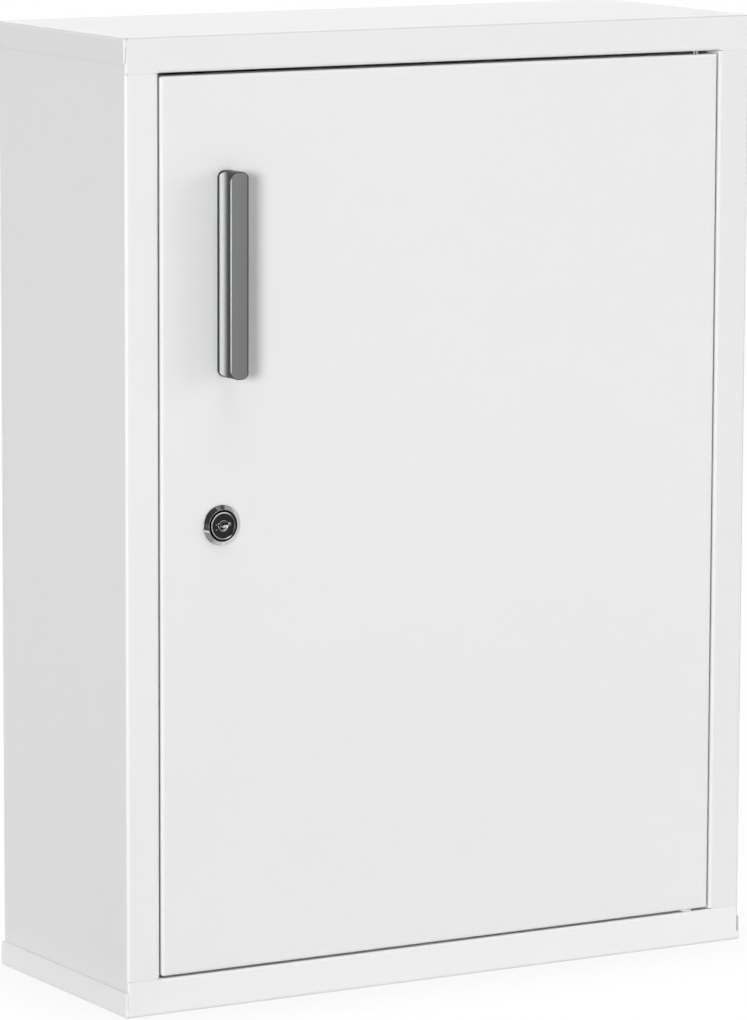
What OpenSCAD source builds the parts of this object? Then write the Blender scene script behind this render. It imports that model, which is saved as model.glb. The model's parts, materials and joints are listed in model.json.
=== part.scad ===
// Lockable steel medicine cabinet with one hinged door.
// X runs to the right, Y to the back and Z up. The origin is the centre of the base.

/* [Cabinet] */
// Outside width
cabinet_w = 450; // [400:5:600]
// Outside depth, from the front of the door to the wall
cabinet_d = 170; // [150:5:300]
// Outside height
cabinet_h = 600; // [570:10:900]
// Thickness of the steel sheet
sheet_t = 1; // [0.8:0.1:1.2]
// Outside radius of every fold
fold_r = 2; // [1.6:0.1:2.6]

/* [Cap and tray] */
// Height of the rail above the door
cap_rail_h = 22; // [18:0.5:32]
// Height of the rail below the door
tray_rail_h = 22.5; // [18:0.5:32]
// Depth of the lip folded back from each rail
rail_lip_d = 18; // [14:1:24]
// Height of the flanges on the sides and the back
flange_h = 16; // [12:1:17]
// Chamfer at the end of each side and back flange
flange_chamfer = 2; // [1:0.5:4]
// Rounding of the upright ends of the flanges
flange_end_r = 1; // [0.5:0.1:1.2]
// Width of the seam between two flanges, and between rail and stile
seam_w = 0.3; // [0.2:0.1:0.6]
// Diameter of the relief hole at each corner
relief_d = 1.6; // [1.4:0.2:2.4]
// Height of the weld that closes each front corner
corner_weld_h = 6; // [4:0.5:10]

/* [Side panels] */
// Width of the stile at each side of the door
stile_w = 22.5; // [18:0.5:40]
// Width of the stop behind the lock side of the door
stop_w = 11.5; // [10:0.5:16]
// Width of the flange that carries the back panel
back_flange_w = 15; // [10:1:25]

/* [Door] */
// Gap at each side of the door
side_gap = 1.4; // [1.2:0.1:2.5]
// Gap above the door
top_gap = 2.1; // [1:0.1:3]
// Gap below the door
bottom_gap = 1.2; // [1:0.1:3]
// Depth of the folded door
door_depth = 14; // [12:1:20]
// Width of the lips folded in behind the sides of the door
door_lip_w = 12; // [8:1:16]
// Corner radius of the front of the door
door_corner_r = 2; // [1:0.5:5]
// Width of the stiffener's channel
stiffener_w = 40; // [20:1:80]
// Width of each welded edge of the stiffener
stiffener_edge_w = 12; // [8:1:20]
// Depth of the stiffener
stiffener_depth = 9; // [6:1:11]
// From each end of the stiffener to the end of the door
stiffener_end_gap = 50; // [20:5:120]

/* [Door buffers] */
// Diameter of a rubber buffer
buffer_d = 8; // [6:0.5:9]
// Thickness of a rubber buffer
buffer_t = 1.8; // [1:0.1:3]
// From each buffer to the end of the door
buffer_end_gap = 60; // [30:5:150]

/* [Hinges] */
// From the hinge axis to the edge of the door
pivot_from_edge = 14; // [10:0.5:16]
// From the hinge axis to the front of the door
pivot_from_face = 5; // [5:0.5:7]
// Diameter of a hinge pin
pin_d = 4; // [3:0.5:5]
// Thickness of a pin's head
pin_head_t = 1.5; // [1:0.1:3]
// How far a pin reaches past its hinge plate
pin_reach = 2; // [1:0.5:6]
// Thickness of a hinge plate
hinge_plate_t = 3; // [2:0.5:6]
// Length of a hinge plate
hinge_plate_w = 24; // [16:1:26]
// Diameter of the nylon washer
washer_d = 8; // [6:0.5:9]

/* [Handle] */
// Height of the handle
handle_h = 126; // [110:1:160]
// Width of the handle
handle_w = 12.2; // [10:0.2:16]
// How far the handle stands out
handle_d = 17.5; // [15:0.5:24]
// Width of the handle at its waist
handle_waist_w = 5.8; // [4.5:0.1:8]
// Thickness of the handle's edge against the door
handle_base_t = 1.2; // [1:0.1:2.5]
// Thickness of the handle's front plate
handle_front_t = 2.8; // [2:0.1:4]
// Corner radius of the handle
handle_corner_r = 4.8; // [2:0.1:5]
// From the door's edge to the middle of the handle
handle_from_edge = 44.8; // [35:0.2:70]
// From the lock up to the middle of the handle
handle_above_lock = 154; // [110:1:165]
// Distance between the handle's screws
handle_screw_spacing = 96; // [64:1:100]
// Diameter of the handle's screws
handle_screw_d = 4; // [3:0.5:4]
// How deep the screws reach into the handle
handle_screw_reach = 8; // [5:0.5:10]

/* [Lock] */
// From the door's edge to the lock
lock_from_edge = 41; // [36:0.2:50]
// From the middle of the cabinet up to the lock
lock_above_middle = 1; // [-80:1:15]
// Diameter of the chrome bezel on the door
bezel_d = 25.2; // [22:0.2:30]
// Diameter of the bezel at its front
bezel_front_d = 20.8; // [19:0.2:21]
// How far the bezel stands out
bezel_h = 3.4; // [2.4:0.1:5]
// Thickness of the bezel's edge
bezel_edge_t = 1.4; // [0.5:0.1:1.8]
// Thickness of the bezel's floor
bezel_floor_t = 0.8; // [0.5:0.1:1.2]
// Diameter of the housing's head
lock_head_d = 17; // [16.6:0.1:18]
// Diameter of the housing's barrel
lock_barrel_d = 15.8; // [15:0.1:16]
// Diameter of the plug
plug_d = 12; // [10:0.5:13]
// Diameter of the plug's nose
plug_nose_d = 7.2; // [7:0.2:9]
// Width of the key slot
key_slot_w = 8.8; // [5:0.2:9.4]
// Height of the key slot
key_slot_h = 1.6; // [1:0.1:2.4]
// Depth of the key slot
key_slot_depth = 13; // [8:0.5:15]
// Width of the lock nut across its flats
nut_w = 22; // [20:0.5:26]
// Thickness of the lock nut
nut_t = 4; // [2:0.5:6]
// Width of the cam
cam_w = 16; // [14:0.5:20]
// Thickness of the cam
cam_t = 2; // [1.5:0.1:3]
// Gap between the stop and the cam
cam_gap = 2.2; // [1:0.1:4]
// Gap between the cam's tip and the stile
cam_tip_gap = 2.5; // [1:0.1:5]
// Diameter of the cam's screw
cam_screw_d = 4; // [3:0.5:5]
// How deep the cam's screw reaches into the plug
cam_screw_reach = 6; // [4:0.5:7]

/* [Shelves] */
// From the front of the door to the front of a shelf
shelf_front_gap = 29; // [28:1:50]
// From the back of a shelf to the back panel
shelf_back_gap = 5; // [2:1:20]
// Height of a shelf's folded edges
shelf_edge_h = 15; // [13:1:30]
// Gap between each end of a shelf and the uprights
shelf_end_gap = 1; // [0.5:0.1:3]

/* [Uprights and clips] */
// Width of an upright
upright_w = 14; // [12:1:20]
// Depth of an upright
upright_d = 6; // [6:0.5:10]
// From the ends of an upright to the top and bottom of the cabinet
upright_end_gap = 40; // [25:1:60]
// From the front of a shelf to the front uprights
upright_front_inset = 26; // [14:1:40]
// From the back of a shelf to the rear uprights
upright_rear_inset = 20; // [14:1:40]
// Distance between two slots
slot_pitch = 25; // [20:1:40]
// Width of a slot
slot_w = 8; // [6:0.5:9]
// Height of a slot
slot_h = 5; // [4.6:0.1:8]
// From the lower end of an upright to its first slot
first_slot = 10; // [6:1:20]
// Thickness of a shelf clip
clip_t = 1.5; // [1:0.1:2]
// How far a clip reaches under the shelf
clip_reach = 12; // [8:1:20]
// Height of a clip's leg
clip_leg_h = 9; // [6:1:11]

/* [Wall holes] */
// Diameter of a wall hole
wall_hole_d = 8; // [5:0.5:12]
// From a wall hole to the side of the cabinet
wall_hole_inset_x = 50; // [40:5:120]
// From a wall hole to the top or bottom of the cabinet
wall_hole_inset_z = 60; // [30:5:150]

/* [Hidden] */
$fn = 64;

// How far a cutting shape runs past the surface that it cuts
over = 1;
// Radial gap of a pin in its bore
running_gap = 0.05;
// Gap between two fixed round pieces
fixed_gap = 0.03;
// Gap round a pin before it is riveted
rivet_gap = 0.1;
// Gap between flat pieces that move past each other
slide_gap = 0.2;
// Number of shelves, each with its own node
shelf_count = 3;

// The carcass
front_y = -cabinet_d / 2;
back_y = cabinet_d / 2;
side_x = cabinet_w / 2 - sheet_t;
wall_x = side_x - sheet_t;
side_flange_y = back_y - 2 * sheet_t;
opening_x = side_x - stile_w;
opening_z0 = tray_rail_h;
opening_z1 = cabinet_h - cap_rail_h;

// The door
door_x = opening_x - side_gap;
door_z0 = opening_z0 + bottom_gap;
door_z1 = opening_z1 - top_gap;
door_w = 2 * door_x;
door_h = door_z1 - door_z0;
door_back_y = front_y + door_depth;
stop_y = door_back_y + slide_gap + buffer_t;
pivot_x = door_x - pivot_from_edge;
pivot_y = front_y + pivot_from_face;
// A pin's head fills the width that the rail's fold leaves it
pin_head_d = 2 * (pivot_from_face - fold_r - slide_gap / 2);

// The lock, with its depths counted from the front of the door
lock_x = -door_x + lock_from_edge;
lock_z = cabinet_h / 2 + lock_above_middle;
handle_z = lock_z + handle_above_lock;
cam_front = stop_y + sheet_t + cam_gap - front_y;
barrel_back = cam_front - slide_gap;
head_front = -bezel_h - slide_gap;
rim_w = 0.25;
bezel_lip_w = 0.7;
face_recess = 1.6;
plug_shoulder = sheet_t;
cam_l = lock_x + opening_x - cam_tip_gap;
cam_seat_w = 7;
cam_seat_d = 9.6;

// The shelves and what carries them
shelf_y0 = front_y + shelf_front_gap;
shelf_y1 = back_y - 2 * sheet_t - shelf_back_gap;
front_upright_y = shelf_y0 + upright_front_inset;
rear_upright_y = shelf_y1 - upright_rear_inset;
upright_face_x = wall_x - upright_d;
upright_z0 = upright_end_gap;
upright_h = cabinet_h - 2 * upright_end_gap;
shelf_x = upright_face_x - shelf_end_gap;
slot_count = floor((upright_h - 2 * first_slot) / slot_pitch) + 1;
hook_h = slot_h - clip_t - slide_gap;
clip_w = slot_w - 2 * slide_gap;

function slot_z(i) = upright_z0 + first_slot + i * slot_pitch;
function shelf_slot(level) = round(level * (slot_count - 1) / (shelf_count + 1));
function shelf_underside(level) = slot_z(shelf_slot(level)) + clip_t;

// A quarter turn to the left of a direction
function left_of(d) = [-d[1], d[0]];
// The direction from one point to the next
function heading(a, b) = (b - a) / norm(b - a);
// 1 where a path turns left at point i, -1 where it turns right
function turn_at(path, i) =
    let (d = heading(path[i - 1], path[i]), e = heading(path[i], path[i + 1]))
    d[0] * e[1] - d[1] * e[0];
// How far from point i of a path its fold begins
function setback(path, i, t, r) =
    i == 0 || i == len(path) - 1 ? 0 : turn_at(path, i) > 0 ? r : r - t;

// Section of a folded sheet that lies on the left of a square-cornered path
module bent_sheet(path, t = sheet_t, r = fold_r) {
    for (i = [0 : len(path) - 2]) flat_run(path, i, t, r);
    for (i = [1 : len(path) - 2]) fold(path, i, t, r);
}

module flat_run(path, i, t, r) {
    d = heading(path[i], path[i + 1]);
    a = path[i] + setback(path, i, t, r) * d;
    b = path[i + 1] - setback(path, i + 1, t, r) * d;
    side = t * left_of(d);
    polygon([a, b, b + side, a + side]);
}

module fold(path, i, t, r) {
    d = heading(path[i - 1], path[i]);
    s = setback(path, i, t, r);
    u = -turn_at(path, i) * left_of(d);
    centre = path[i] - s * d - s * u;
    intersection() {
        translate(centre) difference() {
            circle(r);
            circle(r - t);
        }
        polygon([centre, centre + r * u, centre + r * (u + d), centre + r * d]);
    }
}

// Rectangle that stands on y = 0, rounded at its lower corners, or at all four
module outline(w, h, r, all_round = false) {
    top_r = all_round ? r : 0;
    translate([-w / 2, r]) square([w, h - r - top_r]);
    translate([-w / 2 + r, 0]) square([w - 2 * r, h]);
    for (side = [-1, 1], level = all_round ? [r, h - r] : [r])
        translate([side * (w / 2 - r), level]) circle(r);
}

// Extrusions of a drawing along each axis, centred on the origin
module along_x(length) rotate([90, 0, 90]) linear_extrude(length, center = true) children();
module along_y(length) rotate([90, 0, 0]) linear_extrude(length, center = true) children();
module along_z(z0, z1) translate([0, 0, z0]) linear_extrude(z1 - z0) children();

// Box between two corners
module box(low, high) translate(low) cube(high - low);

// Open-topped tray whose lower edges are rounded
module tray_form(w, d, h, r) intersection() {
    along_y(d + 2 * over) outline(w, h, r);
    along_x(w + 2 * over) outline(d, h, r);
}

// Folded cover with a rail at the front and flanges on its other sides, as a tray
module cover(rail_h) {
    difference() {
        intersection() {
            tray_form(cabinet_w, cabinet_d, rail_h, fold_r);
            along_z(-over, rail_h + over)
                translate([0, front_y]) outline(cabinet_w, cabinet_d, flange_end_r, all_round = true);
        }
        translate([0, 0, sheet_t])
            tray_form(cabinet_w - 2 * sheet_t, cabinet_d - 2 * sheet_t, rail_h, fold_r - sheet_t);
        flange_cut(rail_h);
        for (side = [-1, 1]) corner_cuts(side, rail_h);
        box([-opening_x, front_y - over, rail_h - fold_r], [opening_x, front_y + fold_r, rail_h + over]);
    }
    rail_lip(rail_h);
}

// What is cut away above the side and back flanges
module flange_cut(rail_h) {
    slope = flange_chamfer;
    outside = back_y + over;
    top = rail_h + over;
    back_end = [
        [back_y - slope, flange_h], [back_y, flange_h - slope], [outside, flange_h - slope], [outside, top]
    ];
    along_x(cabinet_w + 2 * over)
        polygon(concat([[front_y + sheet_t, top], [front_y + sheet_t, flange_h]], back_end));
    for (side = [-1, 1]) {
        translate([side * (side_x + sheet_t), 0, 0]) along_x(2 * sheet_t)
            polygon([
                [front_y - over, top], [front_y - over, flange_h - flange_end_r],
                [front_y, flange_h - flange_end_r], [front_y + flange_end_r, flange_h],
                [front_y + 2 * sheet_t, flange_h], [front_y + 2 * sheet_t, top]
            ]);
        mirror([side < 0 ? 1 : 0, 0, 0])
            translate([0, back_y, 0]) rotate([90, 0, 0]) linear_extrude(2 * sheet_t, center = true)
                polygon([
                    [cabinet_w / 2 - slope, flange_h], [cabinet_w / 2, flange_h - slope],
                    [cabinet_w / 2 + over, flange_h - slope], [cabinet_w / 2 + over, top],
                    [cabinet_w / 2 - slope, top]
                ]);
    }
}

// Relief holes and seams at the corners of one side, drawn as the right one
module corner_cuts(side, rail_h) mirror([side < 0 ? 1 : 0, 0, 0]) {
    relief = 0.75 * fold_r;
    translate([cabinet_w / 2 - relief, back_y - relief, -over]) cylinder(d = relief_d, h = fold_r + over);
    box([side_x, back_y - sheet_t - seam_w, fold_r], [cabinet_w / 2 + over, back_y - sheet_t, rail_h + over]);
    translate([side_x - relief, front_y + 0.6 * sheet_t, -over])
        cylinder(d = relief_d, h = 0.8 * fold_r + over);
    // Between the flange and the rail, whose end is rounded as the fold of the stile is
    translate([side_x - fold_r, front_y, 0]) along_z(corner_weld_h, rail_h + over) difference() {
        translate([0, -over]) square([fold_r, fold_r + over]);
        translate([0, fold_r]) circle(fold_r);
    }
}

// The rounded edge of the rail over the opening, and the lip behind it
module rail_lip(rail_h)
    along_x(2 * opening_x) bent_sheet([
        [front_y + rail_lip_d, rail_h], [front_y, rail_h], [front_y, rail_h - fold_r - sheet_t]
    ]);

// A hinge pin's hole through a rail lip
module pin_hole(z)
    translate([pivot_x, pivot_y, z - over]) cylinder(d = pin_d + 2 * rivet_gap, h = sheet_t + 2 * over);

module top_cap() color("white") difference() {
    translate([0, 0, cabinet_h]) mirror([0, 0, 1]) cover(cap_rail_h);
    pin_hole(opening_z1);
}

module bottom_tray() color("white") difference() {
    cover(tray_rail_h);
    pin_hole(opening_z0 - sheet_t);
}

// Side, stile and back flange folded from one sheet, drawn as the left one
module side_panel(stop) {
    edge = [
        [-side_x + back_flange_w, side_flange_y], [-side_x, side_flange_y], [-side_x, front_y],
        [-opening_x, front_y], [-opening_x, stop_y]
    ];
    past_stop = stop_y + sheet_t + over;
    inner_x = -side_x + fold_r;
    difference() {
        along_z(fold_r, cabinet_h - fold_r)
            bent_sheet(stop ? concat(edge, [[-opening_x + stop_w, stop_y]]) : edge);
        for (span = [[0, opening_z0 + seam_w], [opening_z1 - seam_w, cabinet_h]]) {
            box([-side_x - over, front_y - over, span[0]], [0, front_y + sheet_t + seam_w, span[1]]);
            box([inner_x, front_y - over, span[0]], [0, past_stop, span[1]]);
        }
    }
}

module left_side_panel() color("white") side_panel(stop = true);
module right_side_panel() color("white") mirror([1, 0, 0]) side_panel(stop = false);

module back_panel() color("white") difference() {
    box([-side_x + fold_r, side_flange_y, fold_r],
        [side_x - fold_r, side_flange_y + sheet_t, cabinet_h - fold_r]);
    hole_x = cabinet_w / 2 - wall_hole_inset_x;
    for (x = [-hole_x, hole_x], z = [wall_hole_inset_z, cabinet_h - wall_hole_inset_z])
        translate([x, side_flange_y - over, z]) rotate([-90, 0, 0])
            cylinder(d = wall_hole_d, h = sheet_t + 2 * over);
}

// Slotted channel on the left wall
module upright(y) difference() {
    along_z(upright_z0, upright_z0 + upright_h)
        bent_sheet([
            [-wall_x, y - upright_w / 2], [-upright_face_x, y - upright_w / 2],
            [-upright_face_x, y + upright_w / 2], [-wall_x, y + upright_w / 2]
        ]);
    for (i = [0 : slot_count - 1])
        box([-upright_face_x - sheet_t - over, y - slot_w / 2, slot_z(i)],
            [-upright_face_x + over, y + slot_w / 2, slot_z(i) + slot_h]);
}

module left_front_upright() color("gainsboro") upright(front_upright_y);
module left_rear_upright() color("gainsboro") upright(rear_upright_y);
module right_front_upright() color("gainsboro") mirror([1, 0, 0]) upright(front_upright_y);
module right_rear_upright() color("gainsboro") mirror([1, 0, 0]) upright(rear_upright_y);

module shelf(level) {
    top = shelf_underside(level) + sheet_t;
    along_x(2 * shelf_x) bent_sheet([
        [shelf_y1, top - shelf_edge_h], [shelf_y1, top], [shelf_y0, top], [shelf_y0, top - shelf_edge_h]
    ]);
}

module lower_shelf() color("whitesmoke") shelf(1);
module middle_shelf() color("whitesmoke") shelf(2);
module upper_shelf() color("whitesmoke") shelf(3);

// Clip hooked into a slot of a left upright, with its ledge under the shelf
module shelf_clip(level) {
    z = shelf_underside(level);
    face = -upright_face_x;
    hook_x = face - sheet_t - slide_gap;
    along_y(clip_w) {
        bent_sheet([[face + clip_reach, z], [face, z], [face, z - clip_leg_h]], clip_t, clip_t);
        polygon([
            [hook_x - clip_t, z - clip_t], [face + clip_t, z - clip_t], [face + clip_t, z],
            [hook_x, z], [hook_x, z + hook_h], [hook_x - clip_t, z + hook_h]
        ]);
    }
}

module shelf_clips(level)
    for (side = [0, 1], y = [front_upright_y, rear_upright_y])
        mirror([side, 0, 0]) translate([0, y, 0]) shelf_clip(level);

module lower_shelf_clips() color("silver") shelf_clips(1);
module middle_shelf_clips() color("silver") shelf_clips(2);
module upper_shelf_clips() color("silver") shelf_clips(3);

module door_buffers() color("dimgray")
    for (z = [door_z0 + buffer_end_gap, door_z1 - buffer_end_gap])
        translate([-opening_x + stop_w - buffer_d / 2 - slide_gap, stop_y - buffer_t, z]) rotate([-90, 0, 0])
            cylinder(d = buffer_d, h = buffer_t);

// Hinge pin with its head at z = 0 and its shank of a given length below
module hinge_pin(length) {
    cylinder(d = pin_head_d, h = pin_head_t);
    translate([0, 0, -length]) cylinder(d = pin_d, h = length + pin_head_t / 2);
}

module upper_hinge_pin() color("silver")
    translate([pivot_x, pivot_y, opening_z1 + sheet_t])
        hinge_pin(2 * sheet_t + top_gap + hinge_plate_t + pin_reach);

module lower_hinge_pin() color("silver")
    translate([pivot_x, pivot_y, opening_z0 - sheet_t]) mirror([0, 0, 1])
        hinge_pin(2 * sheet_t + bottom_gap + hinge_plate_t + pin_reach);

module lower_hinge_washer() color("ivory")
    translate([pivot_x, pivot_y, opening_z0]) difference() {
        cylinder(d = washer_d, h = bottom_gap - running_gap);
        translate([0, 0, -over]) cylinder(d = pin_d + 2 * running_gap, h = bottom_gap + 2 * over);
    }

// Block with the outside of the door, or its hollow, when inset by a thickness
module door_form(inset, r) intersection() {
    along_z(door_z0 + inset, door_z1 - inset)
        translate([0, front_y + inset])
            outline(door_w - 2 * inset, door_depth - 2 * inset, r, all_round = true);
    translate([0, 0, (door_z0 + door_z1) / 2]) along_x(door_w) rotate(-90)
        translate([0, front_y + inset]) outline(door_h - 2 * inset, door_depth, r);
}

module door_panel() color("white") difference() {
    intersection() {
        door_form(0, fold_r);
        translate([0, (front_y + door_back_y) / 2, door_z0]) along_y(door_depth + 2 * over)
            outline(door_w, door_h, door_corner_r, all_round = true);
    }
    door_form(sheet_t, fold_r - sheet_t);
    box([-door_x + door_lip_w, door_back_y - 2 * sheet_t, door_z0 + sheet_t],
        [door_x - door_lip_w, door_back_y + over, door_z1 - sheet_t]);
    translate([pivot_x, pivot_y, door_z0 - over])
        cylinder(d = pin_d + 2 * running_gap, h = door_h + 2 * over);
    translate([lock_x, front_y - over, lock_z]) rotate([-90, 0, 0])
        cylinder(d = lock_barrel_d + 2 * slide_gap, h = sheet_t + 2 * over);
    handle_screw_places() translate([0, -over, 0]) rotate([-90, 0, 0])
        cylinder(d = handle_screw_d + 2 * slide_gap, h = sheet_t + 2 * over);
}

module door_stiffener() color("white")
    along_z(door_z0 + stiffener_end_gap, door_z1 - stiffener_end_gap) {
        inner = front_y + sheet_t;
        half = stiffener_w / 2;
        edge = half + stiffener_edge_w;
        bent_sheet([
            [edge, inner + sheet_t], [half, inner + sheet_t], [half, inner + stiffener_depth],
            [-half, inner + stiffener_depth], [-half, inner + sheet_t], [-edge, inner + sheet_t]
        ]);
    }

// Thick plate with the pin's bore, inside one end of the door
module hinge_plate(z) difference() {
    box([pivot_x - hinge_plate_w / 2, front_y + fold_r, z],
        [pivot_x + hinge_plate_w / 2, door_back_y - sheet_t - slide_gap, z + hinge_plate_t]);
    translate([pivot_x, pivot_y, z - over])
        cylinder(d = pin_d + 2 * running_gap, h = hinge_plate_t + 2 * over);
}

module upper_hinge_plate() color("silver") hinge_plate(door_z1 - sheet_t - hinge_plate_t);
module lower_hinge_plate() color("silver") hinge_plate(door_z0 + sheet_t);

// Where the handle's screws pass through the front of the door
module handle_screw_places()
    for (z = [-1, 1] * handle_screw_spacing / 2)
        translate([-door_x + handle_from_edge, front_y, handle_z + z]) children();

// Bar with a groove down each side, cut to a rounded outline
module handle() color("darkgray") {
    groove_h = handle_d - handle_base_t - handle_front_t;
    groove_depth = (handle_w - handle_waist_w) / 2;
    groove_r = (pow(groove_h / 2, 2) + pow(groove_depth, 2)) / (2 * groove_depth);
    groove_y = -handle_base_t - groove_h / 2;
    screw_hole_depth = handle_screw_reach + handle_screw_d / 4;
    difference() {
        translate([-door_x + handle_from_edge, front_y, handle_z]) intersection() {
            linear_extrude(handle_h, center = true) difference() {
                translate([-handle_w / 2, -handle_d]) square([handle_w, handle_d]);
                for (side = [-1, 1])
                    translate([side * (handle_waist_w / 2 + groove_r), groove_y]) circle(groove_r);
            }
            translate([0, 0, -handle_h / 2]) along_y(2 * handle_d + 2 * over)
                outline(handle_w, handle_h, handle_corner_r, all_round = true);
        }
        handle_screw_places() translate([0, over, 0]) rotate([90, 0, 0])
            cylinder(d = handle_screw_d + 2 * fixed_gap, h = screw_hole_depth + over);
    }
}

module handle_screws() color("silver") {
    head_d = 1.9 * handle_screw_d;
    head_t = 0.6 * handle_screw_d;
    handle_screw_places() {
        translate([0, sheet_t, 0]) rotate([-90, 0, 0]) cylinder(d = head_d, h = head_t);
        translate([0, sheet_t + head_t / 2, 0]) rotate([90, 0, 0])
            cylinder(d = handle_screw_d, h = sheet_t + head_t / 2 + handle_screw_reach);
    }
}

// Turned piece of the lock, from radii and depths behind the front of the door
module turned(profile)
    translate([lock_x, front_y, lock_z]) rotate([-90, 0, 0]) rotate_extrude() polygon(profile);

// Plate of the lock, square to its axis
module lock_plate(depth, thickness)
    translate([lock_x, front_y + depth, lock_z]) rotate([-90, 0, 0]) linear_extrude(thickness) children();

module lock_bezel() color("lightgray") {
    bore_r = lock_barrel_d / 2 + slide_gap;
    front_r = bezel_front_d / 2;
    inner_r = front_r - bezel_lip_w;
    turned([
        [bore_r, 0], [bezel_d / 2, 0], [bezel_d / 2, -bezel_edge_t], [front_r, -bezel_h],
        [inner_r, -bezel_h], [inner_r, -bezel_floor_t], [bore_r, -bezel_floor_t]
    ]);
}

module lock_housing() color("silver") {
    head_r = lock_head_d / 2;
    barrel_r = lock_barrel_d / 2;
    nose_r = plug_nose_d / 2 + running_gap;
    bore_r = plug_d / 2 + running_gap;
    floor_depth = head_front + face_recess;
    turned([
        [nose_r, floor_depth], [head_r - rim_w, floor_depth], [head_r - rim_w, head_front],
        [head_r, head_front], [head_r, -bezel_floor_t], [barrel_r, -bezel_floor_t],
        [barrel_r, barrel_back], [bore_r, barrel_back], [bore_r, plug_shoulder], [nose_r, plug_shoulder]
    ]);
}

module lock_face_ring() color("#2a2a2a") {
    outer_r = lock_head_d / 2 - rim_w;
    inner_r = plug_nose_d / 2 + 2 * running_gap;
    floor_depth = head_front + face_recess;
    turned([
        [inner_r, floor_depth], [outer_r, floor_depth],
        [outer_r, head_front + slide_gap], [inner_r, head_front + 2 * slide_gap]
    ]);
}

module lock_nut() color("silver")
    lock_plate(sheet_t, nut_t) difference() {
        circle(d = nut_w / cos(30), $fn = 6);
        circle(d = lock_barrel_d + 2 * fixed_gap);
    }

// Outline of the seat that makes the cam turn with the plug
module cam_seat(gap) intersection() {
    circle(d = cam_seat_d + 2 * gap);
    square([cam_seat_w + 2 * gap, cam_seat_d + 4 * gap], center = true);
}

module lock_plug() color("silver") {
    nose_r = plug_nose_d / 2;
    rim = 1;
    rim_depth = 0.5;
    screw_hole_depth = cam_screw_reach - cam_t + cam_screw_d / 4;
    difference() {
        union() {
            turned([
                [0, head_front + rim_depth], [nose_r - rim, head_front + rim_depth],
                [nose_r - rim, head_front], [nose_r, head_front],
                [nose_r, plug_shoulder + slide_gap], [plug_d / 2, plug_shoulder + slide_gap],
                [plug_d / 2, cam_front], [0, cam_front]
            ]);
            lock_plate(cam_front - over, cam_t + over) cam_seat(0);
        }
        lock_plate(head_front - over, key_slot_depth + over) square([key_slot_w, key_slot_h], center = true);
        lock_plate(cam_front - screw_hole_depth, screw_hole_depth + cam_t + over)
            circle(d = cam_screw_d + 2 * fixed_gap);
    }
}

// Flat arm that hangs down when the lock is open
module lock_cam() color("silver") {
    r = cam_w / 2;
    tip_r = 3;
    lock_plate(cam_front, cam_t) difference() {
        union() {
            circle(r);
            translate([-r, 0]) square([cam_w, cam_l - tip_r]);
            translate([-r + tip_r, 0]) square([cam_w - 2 * tip_r, cam_l]);
            for (side = [-1, 1]) translate([side * (r - tip_r), cam_l - tip_r]) circle(tip_r);
        }
        cam_seat(fixed_gap);
    }
}

module lock_cam_screw() color("silver") {
    head_r = 1.25 * cam_screw_d;
    head_t = 0.6 * cam_screw_d;
    seat = cam_front + cam_t;
    turned([
        [0, seat - cam_screw_reach], [cam_screw_d / 2, seat - cam_screw_reach], [cam_screw_d / 2, seat],
        [head_r, seat], [head_r, seat + head_t], [0, seat + head_t]
    ]);
}

top_cap();
bottom_tray();
left_side_panel();
right_side_panel();
back_panel();
left_front_upright();
left_rear_upright();
right_front_upright();
right_rear_upright();
lower_shelf();
middle_shelf();
upper_shelf();
lower_shelf_clips();
middle_shelf_clips();
upper_shelf_clips();
door_buffers();
upper_hinge_pin();
lower_hinge_pin();
lower_hinge_washer();
door_panel();
door_stiffener();
upper_hinge_plate();
lower_hinge_plate();
handle();
handle_screws();
lock_bezel();
lock_housing();
lock_face_ring();
lock_nut();
lock_plug();
lock_cam();
lock_cam_screw();
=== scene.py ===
# %% [markdown]
# A lockable medicine cabinet: white sheet steel, a grooved bar handle and a cam lock.
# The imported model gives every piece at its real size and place. This file gives the pieces
# their finishes, rebuilds the small turned and moulded ones with finer shapes, and lights
# them as a catalogue would.

import json
import math

import bmesh
import bpy
import numpy as np
from mathutils import Matrix, Vector


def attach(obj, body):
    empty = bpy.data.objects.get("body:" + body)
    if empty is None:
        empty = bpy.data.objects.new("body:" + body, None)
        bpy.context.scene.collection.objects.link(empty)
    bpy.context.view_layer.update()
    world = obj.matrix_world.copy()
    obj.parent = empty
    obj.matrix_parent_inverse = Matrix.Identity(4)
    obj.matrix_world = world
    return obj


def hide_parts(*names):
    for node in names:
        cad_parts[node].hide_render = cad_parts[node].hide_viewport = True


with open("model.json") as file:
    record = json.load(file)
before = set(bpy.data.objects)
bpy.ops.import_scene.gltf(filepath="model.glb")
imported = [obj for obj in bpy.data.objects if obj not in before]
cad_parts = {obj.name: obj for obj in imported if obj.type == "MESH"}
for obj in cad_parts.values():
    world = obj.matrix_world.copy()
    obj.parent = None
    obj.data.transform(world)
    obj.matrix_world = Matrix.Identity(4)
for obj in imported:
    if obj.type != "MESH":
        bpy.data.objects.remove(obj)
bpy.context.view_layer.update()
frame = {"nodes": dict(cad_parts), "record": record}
nodes = frame["nodes"]
MM = 0.001

# %% [markdown]
# Shader maths reads best as ordinary expressions. One small class wraps a socket, and its
# operators add Math nodes, so that `1 - mask * 0.2` is written as it is thought. A second
# class holds one material and adds every other kind of node.

# %% A socket that can be added, scaled and compared


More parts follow.
